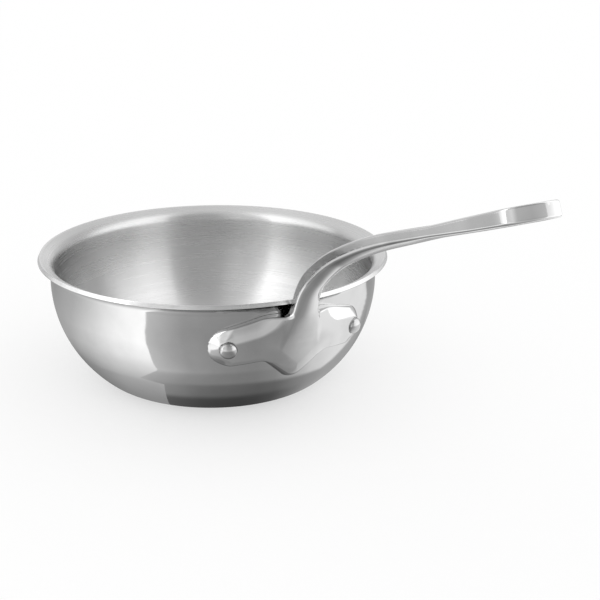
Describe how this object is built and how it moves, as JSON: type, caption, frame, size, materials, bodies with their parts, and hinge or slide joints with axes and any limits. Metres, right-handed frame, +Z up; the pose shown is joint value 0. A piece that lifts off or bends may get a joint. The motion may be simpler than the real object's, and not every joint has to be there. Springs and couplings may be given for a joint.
{
  "type": "saucier pan",
  "caption": "Clad stainless saucier pan: a round-walled bowl with a flared pouring lip and a long cast handle, riveted on through a winged flange.",
  "frame": {"origin": "middle of the flat underside of the base", "axes": "+X runs from the bowl's axis out along the handle, +Y is to the left when looking that way, and +Z is up along the bowl's axis"},
  "size_m": [0.427, 0.22, 0.1858],
  "materials": {
    "polished_steel": "stainless steel sheet, mirror polished outside",
    "brushed_steel": "stainless steel sheet, satin brushed round the bowl",
    "cast_steel": "cast stainless steel, polished",
    "rivet_steel": "stainless steel, cold formed and polished",
    "alloy": "aluminium sheet, bonded between the steel sheets"
  },
  "bodies": {
    "root": {"outer_steel_ply": "polished_steel", "outer_alloy_ply": "alloy", "aluminium_core_ply": "alloy", "inner_alloy_ply": "alloy", "inner_steel_ply": "brushed_steel", "handle": "cast_steel", "rivet_left": "rivet_steel", "rivet_right": "rivet_steel"}
  },
  "joints": []
}
